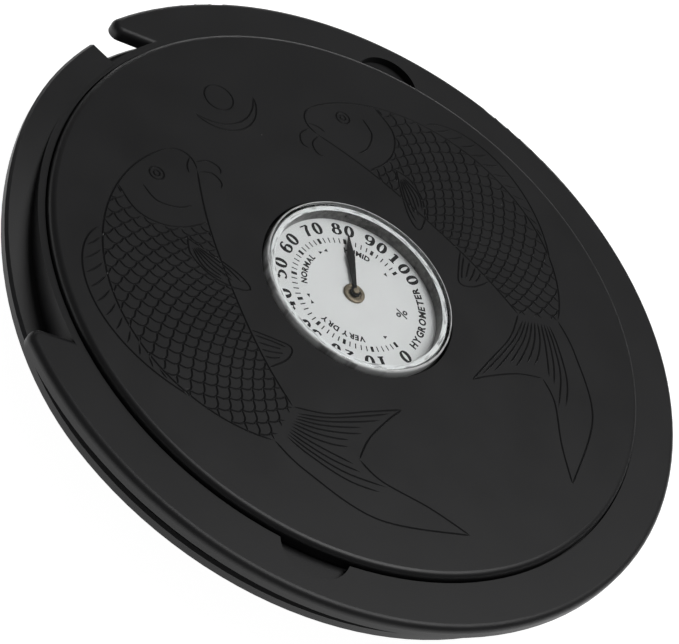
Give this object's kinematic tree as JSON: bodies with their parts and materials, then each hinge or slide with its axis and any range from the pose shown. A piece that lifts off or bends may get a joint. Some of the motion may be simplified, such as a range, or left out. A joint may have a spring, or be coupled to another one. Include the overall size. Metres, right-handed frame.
{
  "type": "dial hygrometer",
  "caption": "Round sound-hole cover for a guitar with a dial hygrometer in its engraved lid, a threaded soft flange and a perforated cup for a damp sponge.",
  "frame": {"origin": "on the axis of the ring, at the underside of the cup", "axes": "+Z the way the dial faces, +Y towards the top of the picture on the lid"},
  "size_m": [0.1086, 0.1086, 0.0163],
  "materials": {
    "soft_ring": "matt moulded soft rubber",
    "cup_plastic": "fine matt moulded plastic",
    "sponge": "open-cell cellulose sponge",
    "lid_plastic": "satin matt moulded plastic, engraved",
    "seal_rubber": "smooth rubber",
    "case_plastic": "smooth black plastic",
    "clear_lens": "clear polished acrylic",
    "dial_white": "matt off-white print on sheet metal",
    "brass": "turned brass",
    "spring_steel": "bright spring steel",
    "coil_strip": "thin metal strip with a dull moisture-taking coat",
    "pointer_black": "satin black paint",
    "spindle_steel": "drawn steel"
  },
  "bodies": {
    "cover": {"soundhole_ring": "soft_ring", "well_cup": "cup_plastic", "sponge_ring": "sponge"},
    "lid": {"lid": "lid_plastic", "lid_seal": "seal_rubber", "hygrometer_case": "case_plastic", "lens_cap": "clear_lens", "dial_spacer_ring": "case_plastic", "clamp_ring": "case_plastic", "dial_plate": "dial_white", "front_bush": "brass", "friction_washer": "spring_steel"},
    "adjuster": {"calibration_disc": "case_plastic", "coil_post": "brass", "rear_bush": "brass", "adjuster_clip": "spring_steel", "humidity_coil": "coil_strip"},
    "movement": {"pointer": "pointer_black", "pointer_spindle": "spindle_steel", "coil_collet": "brass"}
  },
  "joints": [
    {"name": "lid_lift", "type": "slide", "parent": "cover", "child": "lid", "axis": [0, 0, 1], "range_m": [0, 0.016]},
    {"name": "calibration_turn", "type": "hinge", "parent": "lid", "child": "adjuster", "pos_m": [0, 0, 0.0066], "axis": [0, 0, 1], "range_deg": [-25, 25]},
    {"name": "pointer_turn", "type": "hinge", "parent": "adjuster", "child": "movement", "pos_m": [0, 0, 0.01], "axis": [0, 0, 1], "range_deg": [-51.3, 218.7], "stiffness_Nm_per_rad": 0.00001, "deforming": ["humidity_coil"]}
  ]
}
